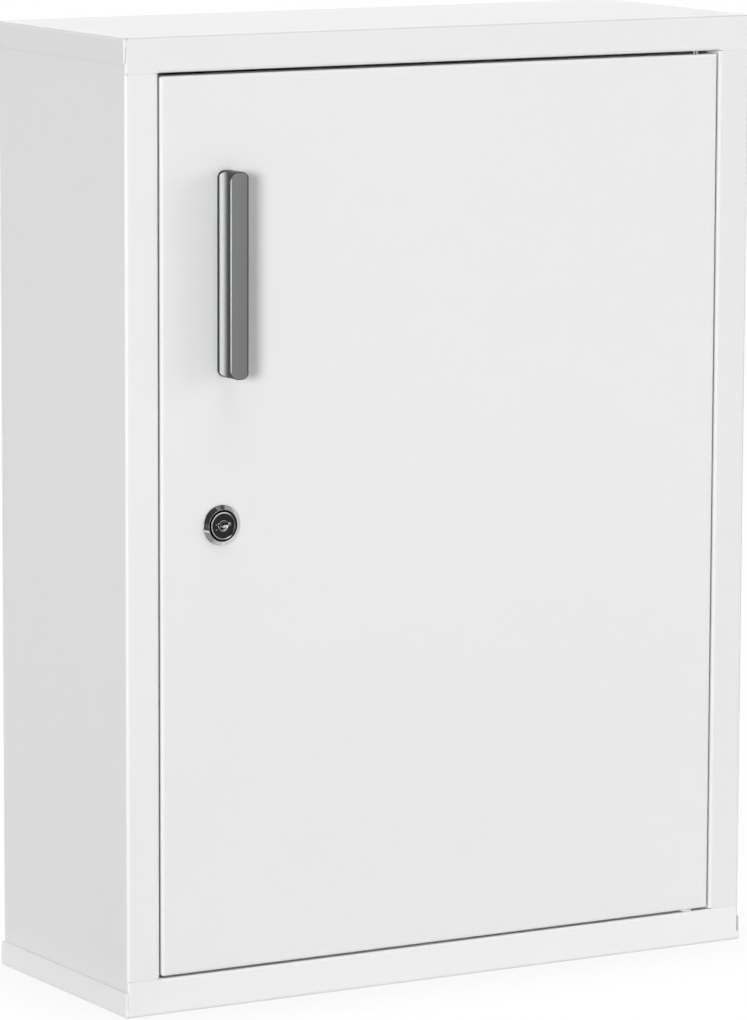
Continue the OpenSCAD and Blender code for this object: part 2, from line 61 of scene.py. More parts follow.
class Value:
    """One output socket of a finish, with operators that add Math nodes."""

    def __init__(self, finish, socket):
        self.finish = finish
        self.socket = socket

    def math(self, operation, *inputs):
        return self.finish.node("ShaderNodeMath", dict(enumerate(inputs)), operation=operation)

    def __add__(self, other):
        return self.math("ADD", self, other)

    def __sub__(self, other):
        return self.math("SUBTRACT", self, other)

    def __rsub__(self, other):
        return self.math("SUBTRACT", other, self)

    def __mul__(self, other):
        return self.math("MULTIPLY", self, other)

    def __gt__(self, other):
        return self.math("GREATER_THAN", self, other)

    def __lt__(self, other):
        return self.math("LESS_THAN", self, other)

    __radd__ = __add__
    __rmul__ = __mul__

    def size(self):
        return self.math("ABSOLUTE", self)

    def larger(self, other):
        return self.math("MAXIMUM", self, other)

    def root(self):
        return self.math("SQRT", self)

    def ramp(self, low, high):
        """0 below low, 1 above high, and a straight slope between."""
        values = {"Value": self, "From Min": low, "From Max": high}
        return self.finish.node("ShaderNodeMapRange", values)


# %% A material built round one Principled shader


class Finish:
    """A material on Object coordinates, built round one Principled shader."""

    def __init__(self, name, colour, roughness, metallic=0.0, **constants):
        self.material = bpy.data.materials.new(name)
        self.material.use_nodes = True
        self.tree = self.material.node_tree
        self.shader = self.tree.nodes["Principled BSDF"]
        self.colour = colour
        self.set("Base Color", (*colour, 1.0))
        self.set("Roughness", roughness)
        self.set("Metallic", metallic)
        for socket, value in constants.items():
            self.set(socket.replace("_", " "), value)

    def set(self, socket, value):
        """Sets a socket of the shader to a constant, or links it to a Value."""
        if isinstance(value, Value):
            self.tree.links.new(value.socket, self.shader.inputs[socket])
        else:
            self.shader.inputs[socket].default_value = value

    def node(self, kind, values, output=0, **settings):
        """Adds a node: its settings first, then the values or links of its sockets."""
        made = self.tree.nodes.new(kind)
        for name, value in settings.items():
            setattr(made, name, value)
        for key, value in values.items():
            if isinstance(value, Value):
                self.tree.links.new(value.socket, made.inputs[key])
            else:
                made.inputs[key].default_value = value
        return Value(self, made.outputs[output])

    def place(self, offset=(0, 0, 0), scale=(1, 1, 1)):
        """The point in the object's own frame, moved and then scaled along each axis."""
        point = self.node("ShaderNodeTexCoord", {}, output="Object")
        moved = self.node("ShaderNodeVectorMath", {0: point, 1: offset}, operation="ADD")
        return self.node("ShaderNodeVectorMath", {0: moved, 1: scale}, operation="MULTIPLY")

    def along(self, axis, offset=0.0):
        """One coordinate of the point, in metres, counted from an offset."""
        parts = self.node("ShaderNodeSeparateXYZ", {0: self.place()}, output=axis)
        return parts - offset

    def noise(self, scale, detail=2.0, stretch=(1, 1, 1)):
        """Cloudy noise about 0.5, so many patches to the metre, stretched along an axis."""
        values = {"Vector": self.place(scale=stretch), "Scale": scale, "Detail": detail}
        return self.node("ShaderNodeTexNoise", values)

    def tint(self, mask, other, under=None):
        """Goes from the finish's own colour, or the one under it, to another as the mask
        goes to 1."""
        values = {0: mask, 6: under or (*self.colour, 1.0), 7: (*other, 1.0)}
        return self.node("ShaderNodeMix", values, output=2, data_type="RGBA")

    def bump(self, height, depth):
        """Roughens the surface by a height pattern, whose full swing is a depth in metres."""
        values = {"Height": height, "Distance": depth, "Strength": 1.0}
        self.set("Normal", self.node("ShaderNodeBump", values))


def shade(colour, factor):
    """A colour made darker or lighter by a factor."""
    return tuple(factor * c for c in colour)


# %% [markdown]
# Powder coat is a baked plastic skin. It is nearly white, half glossy, and has a fine
# orange-peel ripple about a millimetre across that shows only in the highlights. A very wide
# and weak cloud in the colour stands for the coat's thickness, which is never quite even.
# Painted shade darkens the colour in the joints, from an occlusion node, and a painted shade
# line runs along the middle of the cap's folds. The tray, the left side and the right side get
# lit and shaded copies of the coat, as painted light: the tray is the lightest here and the
# right side the darkest.

# %% White powder coat
WHITE = (0.85, 0.854, 0.852)
HALF_W, HALF_D, HEIGHT, FOLD_R = 0.225, 0.085, 0.6, 0.002
PAINTED_SHADE_REACH, RIPPLE = 2.5 * MM, 0.012 * MM
CLOUD_AND_SHADE_FACTOR = 0.72


def powder_coat(name, painted_lightness=1.0):
    """The middle of a fold lies further out, along both of its sheets together, than any
    point of either. The painted shade from the occlusion leaves out where the tray only stands on
    something."""
    # The lightness factor makes lit and shaded copies of the coat, as painted light.
    white = shade(WHITE, painted_lightness)
    finish = Finish(name, white, 0.36)
    cloud = finish.noise(5.0, detail=3.0)
    peel = finish.noise(900.0)
    up = finish.along("Z", HEIGHT - FOLD_R)
    at_side = finish.along("X").size() - (HALF_W - FOLD_R)
    at_front = (HALF_D - FOLD_R) * -1 - finish.along("Y")
    # A painted shade line along the middle of the cap's folds.
    fold_shade_line = (up + at_side.larger(at_front)).ramp(1.3 * FOLD_R, 1.39 * FOLD_R)
    # Painted shade in the joints and crevices, from ambient occlusion.
    painted_shade_ao = finish.node(
        "ShaderNodeAmbientOcclusion", {"Distance": PAINTED_SHADE_REACH}, output="AO", samples=8)
    above_floor = finish.along("Z").ramp(1.0 * MM, 3.0 * MM)
    # Mask of random coat tone, the painted fold shade line and the painted joint shade.
    cloud_and_painted_shade = (cloud * 0.1).larger(fold_shade_line * 0.8).larger((1 - painted_shade_ao) * above_floor)
    finish.set("Base Color", finish.tint(cloud_and_painted_shade, shade(white, CLOUD_AND_SHADE_FACTOR)))
    finish.set("Roughness", 0.33 + cloud * 0.08)
    finish.bump(peel, RIPPLE)
    return finish.material


white_coat = powder_coat("white_powder_coat")
# Lit and shaded copies: the tray and the left side painted lighter, the right side painted darker.
lit_and_shaded_coats = {
    "bottom_tray": powder_coat("tray_coat_painted_lighter", 1.05),
    "left_side_panel": powder_coat("left_coat_painted_lighter", 1.02),
    "right_side_panel": powder_coat("right_coat_painted_darker", 0.98),
}
print("made", white_coat.name, "and", len(lit_and_shaded_coats), "shades of it")

# %% [markdown]
# The metals differ mostly in how they were finished. Zinc plate has dull crystals, a turned
# piece has fine rings about its axis, and a drawn or brushed bar has lines along its length.
# Each pattern is read from the piece's own coordinates, so it stays put when the piece moves.

# %% Zinc plate, bright steel and nickel
ZINC = (0.62, 0.63, 0.64)
STEEL = (0.68, 0.68, 0.67)
NICKEL = (0.78, 0.77, 0.75)


def zinc_plate():
    finish = Finish("zinc_plate", ZINC, 0.4, metallic=1.0)
    cells = finish.node(
        "ShaderNodeTexVoronoi", {"Vector": finish.place(), "Scale": 260.0}, output="Color")
    crystal = finish.node("ShaderNodeSeparateColor", {0: cells})
    haze = finish.noise(60.0, detail=4.0)
    finish.set("Base Color", finish.tint(haze, (0.56, 0.57, 0.60)))
    finish.set("Roughness", 0.3 + crystal * 0.12 + haze * 0.1)
    finish.bump(haze, 0.01 * MM)
    return finish.material


def bright_steel():
    finish = Finish("bright_steel", STEEL, 0.24, metallic=1.0)
    haze = finish.noise(220.0, detail=3.0)
    finish.set("Base Color", finish.tint(haze, shade(STEEL, 0.88)))
    finish.set("Roughness", 0.16 + haze * 0.16)
    finish.bump(haze, 0.006 * MM)
    return finish.material


# %% [markdown]
# The lock has a deep ring-shaped groove between its bezel and its head, and a key slot in its
# plug. The groove is coloured plain black, and the well of the slot near black as painted
# shade. The finish finds them by the distance from the lock's axis and by the depth.

# %% Nickel and chrome, black in the lock's groove and with painted shade in the slot's well
LOCK = np.array([-159.1, -85.0, 301.0])
DOOR_FRONT = -0.085
CHROME = (0.74, 0.74, 0.74)
HOLLOW_BLACK_AND_SHADE = (0.01, 0.01, 0.01)
GROOVE_IN, GROOVE_OUT, GROOVE_TOP = 8.3 * MM, 9.75 * MM, -2.9 * MM
WELL_R, WELL_TOP, WELL_FLOOR = 3.5 * MM, -3.0 * MM, 1.25 * MM


def groove_black_and_well_shade(finish):
    """1 in the groove, between its two radii and down to the door's face, where the colour is
    plain black, and 1 in the well of the slot, near the axis and below the nose's front, where the
    black is painted shade."""
    x, z = finish.along("X", LOCK[0] * MM), finish.along("Z", LOCK[2] * MM)
    radius = (x * x + z * z).root()
    depth = finish.along("Y", DOOR_FRONT)
    groove = (radius > GROOVE_IN) * (radius < GROOVE_OUT) * (depth > GROOVE_TOP) * (depth < 0.0)
    # Painted shade in the slot's well.
    well = (radius < WELL_R) * (depth > WELL_TOP) * (depth < WELL_FLOOR)
    return groove.larger(well)


def nickel_plate():
    finish = Finish("nickel_plate", NICKEL, 0.22, metallic=1.0)
    haze = finish.noise(500.0, detail=3.0)
    haze_and_dark_hollows = (haze * 0.15).larger(groove_black_and_well_shade(finish))
    # Near black in the groove, and painted shade in the slot's well.
    finish.set("Base Color", finish.tint(haze_and_dark_hollows, HOLLOW_BLACK_AND_SHADE))
    finish.set("Roughness", 0.10 + haze * 0.12)
    finish.bump(haze, 0.008 * MM)
    return finish.material


def chrome_plate():
    finish = Finish("chrome_plate", CHROME, 0.07, metallic=1.0)
    haze = finish.noise(300.0, detail=3.0)
    haze_and_dark_hollows = (haze * 0.07).larger(groove_black_and_well_shade(finish))
    # Near black in the groove, and painted shade in the slot's well.
    finish.set("Base Color", finish.tint(haze_and_dark_hollows, HOLLOW_BLACK_AND_SHADE))
    finish.set("Roughness", 0.05 + haze * 0.05)
    return finish.material


# %% [markdown]
# The handle is satin metal, dull grey with very fine lines along its height. Painted shade
# darkens the hollow under the front plate, the thin foot against the door and the plate's right
# edge. The cut ends are coloured darker, and a painted highlight lightens the plate's left edge.

# %% Satin metal
SATIN = (0.40, 0.41, 0.405)
HANDLE_X, HANDLE_Z, HANDLE_HALF = -0.1553, 0.455, 0.063
BAR_HALF_W, CORNER_R = 6.1, 4.8
EDGE_HIGHLIGHT = (0.85, 0.85, 0.85)
# Each mask slopes between two distances in metres: out from the door, or from the middle line.
FOOT, HOLLOW, HOLLOW_END = (1.5 * MM, 1.8 * MM), (4.2 * MM, 7.5 * MM), 16.5 * MM
RIGHT_EDGE, RIGHT_OUT = (4.8 * MM, 5.2 * MM), 15.4 * MM
LEFT_EDGE, LEFT_OUT = (5.6 * MM, 5.85 * MM), 16.8 * MM


def satin_bar():
    """Painted shade lies on the foot and at the plate's right edge, and a darker colour on the
    cut ends, whose outline is the bar's rounded one. A weaker painted shade rises where the
    groove is deep. A painted highlight lightens the plate's left edge."""
    finish = Finish("satin_bar", SATIN, 0.42, metallic=1.0)
    lines = finish.noise(1400.0, detail=3.0, stretch=(1.0, 1.0, 0.01))
    out = DOOR_FRONT - finish.along("Y")
    across = finish.along("X", HANDLE_X)
    corner = CORNER_R * MM
    into_corner = (across.size() - (BAR_HALF_W * MM - corner)).larger(0.0)
    drop = corner - (corner**2 - into_corner * into_corner).root()
    to_end = finish.along("Z", HANDLE_Z).size() + drop
    cut_end = to_end.ramp(HANDLE_HALF - 0.5 * MM, HANDLE_HALF - 0.3 * MM)
    # Painted shade on the foot, the plate's right edge and the hollow; a painted highlight on the
    # left edge.
    foot = 1 - out.ramp(*FOOT)
    right_edge_shade = across.ramp(*RIGHT_EDGE) * (out > RIGHT_OUT)
    left_edge_highlight = (across * -1).ramp(*LEFT_EDGE) * (out > LEFT_OUT) * (1 - cut_end)
    hollow_shade = out.ramp(*HOLLOW) * (out < HOLLOW_END)
    dark = (lines * 0.05).larger(foot).larger(cut_end)
    dark = dark.larger(right_edge_shade * 0.8).larger(hollow_shade * 0.85)
    # The brush lines, and painted shade on the foot, right edge and hollow, darker cut ends.
    brushed_and_shaded = finish.tint(dark, shade(SATIN, 0.13))
    # The plate's left edge gets a painted highlight.
    finish.set("Base Color", finish.tint(left_edge_highlight, EDGE_HIGHLIGHT, brushed_and_shaded))
    finish.set("Roughness", 0.39 + lines * 0.06)
    finish.bump(lines, 0.0015 * MM)
    return finish.material


# %% [markdown]
# The small parts that are not metal each get a fine grain of their own: cloudy nylon, dull
# rubber, and a half-glossy black plastic.

# %% Nylon, rubber and black plastic


def nylon():
    finish = Finish("natural_nylon", (0.85, 0.84, 0.80), 0.45)
    cloud = finish.noise(400.0, detail=3.0)
    finish.set("Base Color", finish.tint(cloud, (0.80, 0.79, 0.74)))
    finish.set("Roughness", 0.38 + cloud * 0.14)
    return finish.material


def rubber():
    finish = Finish("grey_rubber", (0.12, 0.12, 0.12), 0.75)
    grain = finish.noise(1500.0, detail=3.0)
    finish.set("Base Color", finish.tint(grain, (0.08, 0.08, 0.08)))
    finish.set("Roughness", 0.65 + grain * 0.2)
    finish.bump(grain, 0.02 * MM)
    return finish.material


def black_plastic():
    finish = Finish("black_plastic", (0.010, 0.010, 0.011), 0.3, Specular_IOR_Level=0.35)
    grain = finish.noise(900.0, detail=3.0)
    finish.set("Base Color", finish.tint(grain, (0.018, 0.018, 0.019)))
    finish.set("Roughness", 0.24 + grain * 0.18)
    finish.bump(grain, 0.01 * MM)
    return finish.material


FINISHES = {
    "white_coat": white_coat,
    "zinc_plate": zinc_plate(),
    "bright_steel": bright_steel(),
    "nickel": nickel_plate(),
    "chrome": chrome_plate(),
    "satin_metal": satin_bar(),
    "white_nylon": nylon(),
    "grey_rubber": rubber(),
    "black_plastic": black_plastic(),
}
print("finishes", ", ".join(FINISHES))

# %% [markdown]
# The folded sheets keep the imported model's own meshes, because their folds, seams and relief
# holes are already at real size there. They only need their finish.

# %% Finish the pieces that keep their shape
slot_of = {row["node"]: row["material_slot"] for row in frame["record"]["subparts"]}
for name, node in nodes.items():
    node.data.materials.clear()
    node.data.materials.append(lit_and_shaded_coats.get(name, FINISHES[slot_of[name]]))
print("finished", len(nodes), "pieces of the packed model")

# %% [markdown]
# Every finer piece is a grid of points that a formula places, so three helpers are enough:
# one joins a grid's points into faces, one rounds the corners of a drawn profile, and one
# turns a profile about the lock's axis as a lathe would.

# %% Grids into pieces


def grid_faces(rows, columns, wrap_rows=False, wrap_columns=False, first=0):
    """Four-sided faces between neighbours of a grid whose points are numbered row by row."""
    numbers = first + np.arange(rows * columns).reshape(rows, columns)
    if wrap_rows:
        numbers = np.concatenate([numbers, numbers[:1]])
    if wrap_columns:
        numbers = np.concatenate([numbers, numbers[:, :1]], axis=1)
    corners = [numbers[:-1, :-1], numbers[:-1, 1:], numbers[1:, 1:], numbers[1:, :-1]]
    return np.stack(corners, axis=-1).reshape(-1, 4)


def piece(name, parts, body, slot, replaced=(), crease=35.0):
    """A closed piece from (points, faces) parts, welded, with its faces turned outwards."""
    starts = np.cumsum([0] + [len(points) for points, _ in parts])
    points = np.concatenate([points for points, _ in parts])
    faces = np.concatenate([faces + start for (_, faces), start in zip(parts, starts)])
    mesh = bpy.data.meshes.new(name)
    mesh.from_pydata(points.tolist(), [], faces.tolist())
    return finish_piece(name, mesh, body, slot, replaced, crease)


def finish_piece(name, mesh, body, slot, replaced=(), crease=35.0):
    """Welds doubles, turns the faces outwards, and gives the piece its finish and its body."""
    work = bmesh.new()
    work.from_mesh(mesh)
    bmesh.ops.remove_doubles(work, verts=work.verts, dist=0.001 * MM)
    bmesh.ops.dissolve_degenerate(work, edges=work.edges, dist=0.001 * MM)
    bmesh.ops.recalc_face_normals(work, faces=work.faces)
    work.to_mesh(mesh)
    work.free()
    mesh.shade_smooth()
    mesh.set_sharp_from_angle(angle=math.radians(crease))
    mesh.materials.clear()
    mesh.materials.append(FINISHES[slot])
    made = bpy.data.objects.new(name, mesh)
    bpy.context.scene.collection.objects.link(made)
    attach(made, body)
    if replaced:
        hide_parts(*replaced)
    print(name, len(mesh.polygons), "faces")
    return made


# %% Rounded profiles, and a lathe


def rounded(profile, radius, steps=4):
    """Rounds each corner of a closed profile.

    A corner becomes a parabola that leaves one side and meets the next at the same distance,
    which is the radius or a third of the shorter side.
    """
    here = np.asarray(profile, float)
    before, after = np.roll(here, 1, axis=0), np.roll(here, -1, axis=0)
    back, on = before - here, after - here
    long_back = np.linalg.norm(back, axis=1, keepdims=True)
    long_on = np.linalg.norm(on, axis=1, keepdims=True)
    reach = np.minimum(radius, np.minimum(long_back, long_on) / 3)
    start, end = here + back / long_back * reach, here + on / long_on * reach
    t = np.linspace(0, 1, steps + 1)[None, :, None]
    curve = (1 - t) ** 2 * start[:, None] + 2 * t * (1 - t) * here[:, None] + t**2 * end[:, None]
    return curve.reshape(-1, 2)


def turn(profile, centre=LOCK, axis="y", sides=96, closed=True, wave=None):
    """Turns a profile of (radius, depth) about an axis through the centre.

    Point (i, j) stands at angle j around the axis, at profile point i. A closed profile joins
    its last point to its first. A wave adds to the radius at each depth and angle.
    """
    profile = np.asarray(profile, float)
    angle = np.arange(sides) * 2 * np.pi / sides
    radius, depth = np.meshgrid(profile[:, 0], angle, indexing="ij")[0], profile[:, 1:2]
    radius = radius + (wave(depth, angle[None, :]) if wave else 0.0)
    depth = np.broadcast_to(depth, radius.shape)
    across, up = radius * np.cos(angle), radius * np.sin(angle)
    order = {"y": (across, depth, up), "z": (across, up, depth)}[axis]
    points = (np.stack(order, axis=-1) + centre).reshape(-1, 3) * MM
    return points, grid_faces(len(profile), sides, wrap_rows=closed, wrap_columns=True)


# %% [markdown]
# The handle is a drawn bar with a round groove down each side, cut to a rounded outline. Its
# whole surface is a box grid that one formula bends: the depth sets how wide the bar is, and
# the place across the width sets how high it reaches.

# %% How wide and how high the bar is
DEPTH, BASE_T, PLATE_T, WAIST, FRONT_R, CROWN = 17.5, 1.2, 2.0, 2.9, 0.6, 0.15


def bar_half_width(depth):
    """Half the bar's width: full at the base and the front plate, and round-grooved between."""
    groove_h = DEPTH - BASE_T - PLATE_T
    groove_d = BAR_HALF_W - WAIST
    groove_r = (groove_h**2 / 4 + groove_d**2) / (2 * groove_d)
    from_middle = np.clip(depth - BASE_T - groove_h / 2, -groove_h / 2, groove_h / 2)
    groove = WAIST + groove_r - np.sqrt(groove_r**2 - from_middle**2)
    into_edge = np.clip(depth - (DEPTH - FRONT_R), 0, FRONT_R)
    return np.minimum(groove, BAR_HALF_W) - (FRONT_R - np.sqrt(FRONT_R**2 - into_edge**2))


def bar_half_height(across):
    """How far the bar reaches up and down at a distance from its middle line: a rounded corner."""
    into_corner = np.clip(np.abs(across) - (BAR_HALF_W - CORNER_R), 0, CORNER_R)
    return HANDLE_HALF / MM - (CORNER_R - np.sqrt(CORNER_R**2 - into_corner**2))


# %% The handle, from six bent sides


def bar_surface(s, depth, w):
    """Point of the bar at s across (-1 to 1), a depth from the door, and w along its height
    (-1 to 1)."""
    half = bar_half_width(depth)
    across = s * half
    crown = CROWN * (1 - s**2) * (depth > DEPTH - 1e-6)
    height = w * bar_half_height(across)
    x, y = across + HANDLE_X / MM, DOOR_FRONT / MM - depth + CROWN - crown
    y = np.minimum(y, DOOR_FRONT / MM)
    return np.stack(np.broadcast_arrays(x, y, height + HANDLE_Z / MM), axis=-1)


def box_sides(s, depth, w, surface):
    """The six sides of a box grid, each bent by the same surface formula."""
    parts = []
    for first, second, place in (
        (depth, w, lambda a, b: (s[0], a, b)), (depth, w, lambda a, b: (s[-1], a, b)),
        (s, w, lambda a, b: (a, depth[0], b)), (s, w, lambda a, b: (a, depth[-1], b)),
        (s, depth, lambda a, b: (a, b, w[0])), (s, depth, lambda a, b: (a, b, w[-1])),
    ):
        a, b = np.meshgrid(first, second, indexing="ij")
        points = surface(*place(a, b)).reshape(-1, 3) * MM
        parts.append((points, grid_faces(len(first), len(second))))
    return parts


front_start = DEPTH - FRONT_R
rounding = front_start + FRONT_R * np.sin(np.linspace(0, np.pi / 2, 9))
depths = np.concatenate([[0.0], np.linspace(BASE_T, DEPTH - PLATE_T, 33), rounding])
across = np.sin(np.linspace(-np.pi / 2, np.pi / 2, 41))
heights = np.linspace(-1, 1, 3)
handle_bar = piece(
    "handle_bar", box_sides(across, depths, heights, bar_surface), "door", "satin_metal",
    replaced=["handle"], crease=25.0)


def break_edges(made, name, width, angle):
    """A live bevel of two steps on every edge that is sharper than an angle in degrees."""
    bevel = made.modifiers.new(name, "BEVEL")
    bevel.width = width * MM
    bevel.segments = 2
    bevel.limit_method = "ANGLE"
    bevel.angle_limit = math.radians(angle)


break_edges(handle_bar, "worn_edges", 0.15, 25)

# %% [markdown]
# The lock shows four rings round its key slot: a polished bezel shaped like a low cone, the
# bright rim of the housing down in it, which slopes in like a saucer's, a black face and the
# nose of the plug. Each is turned from its section. Real corners are never sharp, and the thin
# highlights on them are what makes chrome look like chrome, so every corner is rounded first.

# %% The bezel and the black face
EASE, ROUND = 0.15, 128
bezel_section = [
    (8.1, 0), (12.6, 0), (12.6, -0.95), (9.95, -3.07), (9.7, -3.07), (9.7, -0.8), (8.1, -0.8)]
bezel = turn(rounded(bezel_section, EASE), sides=ROUND)
piece("lock_bezel_ring", [bezel], "door", "chrome", ["lock_bezel"])

face_section = [(3.7, -2.0), (7.65, -2.0), (7.65, -3.15), (3.7, -3.15)]
face = turn(rounded(face_section, EASE), sides=ROUND)
piece("lock_face", [face], "door", "black_plastic", ["lock_face_ring"])

# %% [markdown]
# The housing's head and its threaded barrel are one piece of turned metal. A thread isn't quite
# a turned shape, so it is a wave that the lathe adds to the radius at each depth and angle.

# %% The housing and its thread
HEAD_FRONT, HEAD_R, RIM_W, BARREL_R, BARREL_END = -3.6, 8.5, 0.85, 7.9, 19.0
PITCH_LENGTH, THREAD_D, RUN_OUT = 1.5, 0.5, 0.8


def thread(depth, angle):
    """A screw thread: a ridge that climbs one pitch in each turn and runs out at both ends."""
    climb = depth / PITCH_LENGTH - angle / (2 * np.pi)
    ridge = np.abs(2 * (climb - np.floor(climb)) - 1)
    run_in = np.clip((depth - 1.2) / RUN_OUT, 0, 1)
    run_out = np.clip((BARREL_END - 0.3 - depth) / RUN_OUT, 0, 1)
    return -THREAD_D * np.clip(1.4 * ridge - 0.2, 0, 1) * (run_in * run_out)


barrel = np.stack([np.full(110, BARREL_R), np.linspace(1.0, BARREL_END, 110)], axis=1)
rim_in, lip = HEAD_R - RIM_W, 0.06
head = rounded([
    (3.65, -2.0), (rim_in, -2.0), (rim_in, HEAD_FRONT + 0.32), (HEAD_R - lip, HEAD_FRONT),
    (HEAD_R, HEAD_FRONT + lip), (HEAD_R, -0.8)], lip)
shoulder = [(HEAD_R, -0.8), (BARREL_R, -0.8)]
bore = [(6.05, BARREL_END), (6.05, 1.0), (3.65, 1.0)]
housing_section = np.concatenate([head[:-5], shoulder, barrel, bore])
piece("lock_barrel", [turn(housing_section, wave=thread)], "door", "nickel", ["lock_housing"])

# %% [markdown]
# The plug's nose is split by the key slot, which jogs up by half its height in the middle as
# the key's section does. So the nose is two pieces, above and below the slot. Each is again a
# bent box grid: one side lies along the slot, the opposite one along the round edge. The front
# is a rounded ring, a narrow groove and a shallow dish, and these curves are what glints. Below
# the slot a sickle-shaped pit is cut, where the key's grooved edge runs.

# %% The slot's edges and the nose's front
NOSE_R, RING_R, DISH_R, NOSE_BACK = 3.6, 2.9, 2.6, 1.3
DISH_TOP, DISH_D, GROOVE_D = 0.3, 0.2, 0.75
SICKLE_OUT, SICKLE_IN, SICKLE_D = 2.3, 1.75, 0.9
SLOT_X, SLOT_LOW, SLOT_HIGH, SLOT_H = -0.8, -0.05, 0.55, 1.05


def slot_edge(x, side):
    """Height of the slot's lower (-1) or upper (1) edge, low at the left and high at the
    right."""
    jog = np.clip((x - SLOT_X) / 0.3, 0, 1)
    return SLOT_LOW + (SLOT_HIGH - SLOT_LOW) * jog + SLOT_H * (side > 0)


def nose_front(x, z):
    """Depth of the nose's front: a round-topped ring at the edge, a groove inside it, and a
    dish that sinks as a parabola towards its middle. The sickle lies inside one circle and
    outside a smaller one that is moved up and to the right."""
    radius = np.hypot(x, z)
    half_ring = (NOSE_R - RING_R) / 2
    ring = half_ring * np.clip(np.abs(radius - (RING_R + NOSE_R) / 2) / half_ring, 0, 1) ** 2
    dish = DISH_TOP + DISH_D * (1 - (radius / DISH_R) ** 2)
    groove = GROOVE_D * ((radius > DISH_R) & (radius < RING_R) & ((z > 0) | (x < -0.6)))
    off_centre = np.hypot(x - 0.35, z - 0.25)
    sickle = SICKLE_D * ((radius < SICKLE_OUT) & (off_centre > SICKLE_IN) & (z < -0.9))
    return HEAD_FRONT + np.where(radius < RING_R, dish + groove + sickle, ring)


# %% The plug with its key slot


def half_nose(side):
    """Surface of one piece: s from the slot (0) to the round edge (1), v from left to right,
    w from front to back."""
    ends = slot_edge(np.array([-NOSE_R, NOSE_R]), side)
    left, right = np.pi - np.arcsin(ends[0] / NOSE_R), np.arcsin(ends[1] / NOSE_R)
    if side < 0:
        left -= 2 * np.pi

    def surface(v, s, w):
        share = (v + 1) / 2
        angle = left + (right - left) * share
        x = NOSE_R * (np.cos(left) + (np.cos(right) - np.cos(left)) * share)
        chord = np.stack(np.broadcast_arrays(x, slot_edge(x, side)), axis=-1)
        arc = NOSE_R * np.stack([np.cos(angle), np.sin(angle)], axis=-1)
        s, w = np.broadcast_arrays(s, w)
        flat = chord * (1 - s[..., None]) + arc * s[..., None]
        front = nose_front(flat[..., 0], flat[..., 1])
        depth = front * (1 - w) + NOSE_BACK * w
        return np.stack([flat[..., 0], depth, flat[..., 1]], axis=-1) + LOCK

    return box_sides(np.linspace(-1, 1, 73), np.linspace(0, 1, 41), np.linspace(0, 1, 2), surface)


plug_body = [(0, 1.2), (5.9, 1.2), (5.9, 19.2), (0, 19.2)]
centre_pin = [(0, -3.1), (0.3, -3.07), (0.42, -2.95), (0.42, 1.2)]
pin_place = LOCK + (-1.6, 0.0, 0.35)
turned = [turn(plug_body, closed=False), turn(centre_pin, pin_place, sides=24, closed=False)]
piece("key_plug", half_nose(1) + half_nose(-1) + turned, "lock_core", "nickel", ["lock_plug"])

# %% [markdown]
# Bright lugs stand at both ends of the key slot: a broad one at the right and two small ones at
# the left. A superellipsoid, a ball pressed towards a box, gives such a cast shape in one
# formula. The broad one narrows towards its outer end.

# %% The lugs at the ends of the slot


def pebble(centre, half_size, squareness=0.45, taper=0.0, rings=16, sides=32):
    """A ball whose sines and cosines are raised to a power below 1, which presses it towards
    a box. The taper shrinks its height from the left end to the right."""
    tilt = np.linspace(-np.pi / 2, np.pi / 2, rings)[:, None]
    angle = np.arange(sides)[None, :] * 2 * np.pi / sides

    def pressed(value):
        return np.sign(value) * np.abs(value) ** squareness

    x = pressed(np.cos(tilt)) * pressed(np.cos(angle))
    z = pressed(np.cos(tilt)) * pressed(np.sin(angle)) * (1 - taper * (x + 1) / 2)
    shape = np.stack(np.broadcast_arrays(x, pressed(np.sin(tilt)) + 0 * angle, z), axis=-1)
    points = (shape * half_size + centre).reshape(-1, 3) * MM
    return points, grid_faces(rings, sides, wrap_columns=True)


broad_lug = pebble(LOCK + (4.35, -3.3, 0.9), (0.95, 0.35, 1.3), 0.5, taper=0.35)
small_lugs = [pebble(LOCK + (-4.75, -3.25, z), (0.5, 0.3, 0.42), 0.8) for z in (0.8, -2.2)]
piece("slot_lugs", [broad_lug, *small_lugs], "lock_core", "nickel")

# %% [markdown]
# Inside the door a hexagonal nut holds the lock. A hexagon's edge lies at the flat's distance
# divided by the cosine of the angle to that flat. A real nut is also turned, so its corners
# fall away at 30 degrees, which gives the curved chamfers everyone knows.

# %% The lock nut
FLAT_R, CHAMFER_R, CHAMFER_SLOPE, NUT_SIDES = 11.0, 11.1, 0.577, 96
BORE_R, BORE_EASED_R, NUT_LOW, NUT_HIGH = 7.95, 8.4, 1.0, 5.0


def nut_surface():
    """Rows run from the bore over the back, the flats and the front, and round again."""
    angle = np.arange(NUT_SIDES) * 2 * np.pi / NUT_SIDES
    hexagon = FLAT_R / np.cos((angle + np.pi / 6) % (np.pi / 3) - np.pi / 6)
    drop = CHAMFER_SLOPE * np.clip(hexagon - CHAMFER_R, 0, None)
    inner = np.minimum(hexagon, CHAMFER_R)
    even = np.ones_like(angle)
    rows = [
        (BORE_R * even, (NUT_LOW + 0.5) * even), (BORE_EASED_R * even, NUT_LOW * even),
        (inner, NUT_LOW * even), (hexagon, NUT_LOW + drop),
        (hexagon, NUT_HIGH - drop), (inner, NUT_HIGH * even),
        (BORE_EASED_R * even, NUT_HIGH * even), (BORE_R * even, (NUT_HIGH - 0.5) * even),
    ]
    radius, depth = np.array(rows).transpose(1, 0, 2)
    points = np.stack([radius * np.cos(angle), depth, radius * np.sin(angle)], axis=-1) + LOCK
    faces = grid_faces(len(rows), NUT_SIDES, wrap_rows=True, wrap_columns=True)
    return points.reshape(-1, 3) * MM, faces


piece("barrel_nut", [nut_surface()], "door", "nickel", ["lock_nut"], crease=25.0)

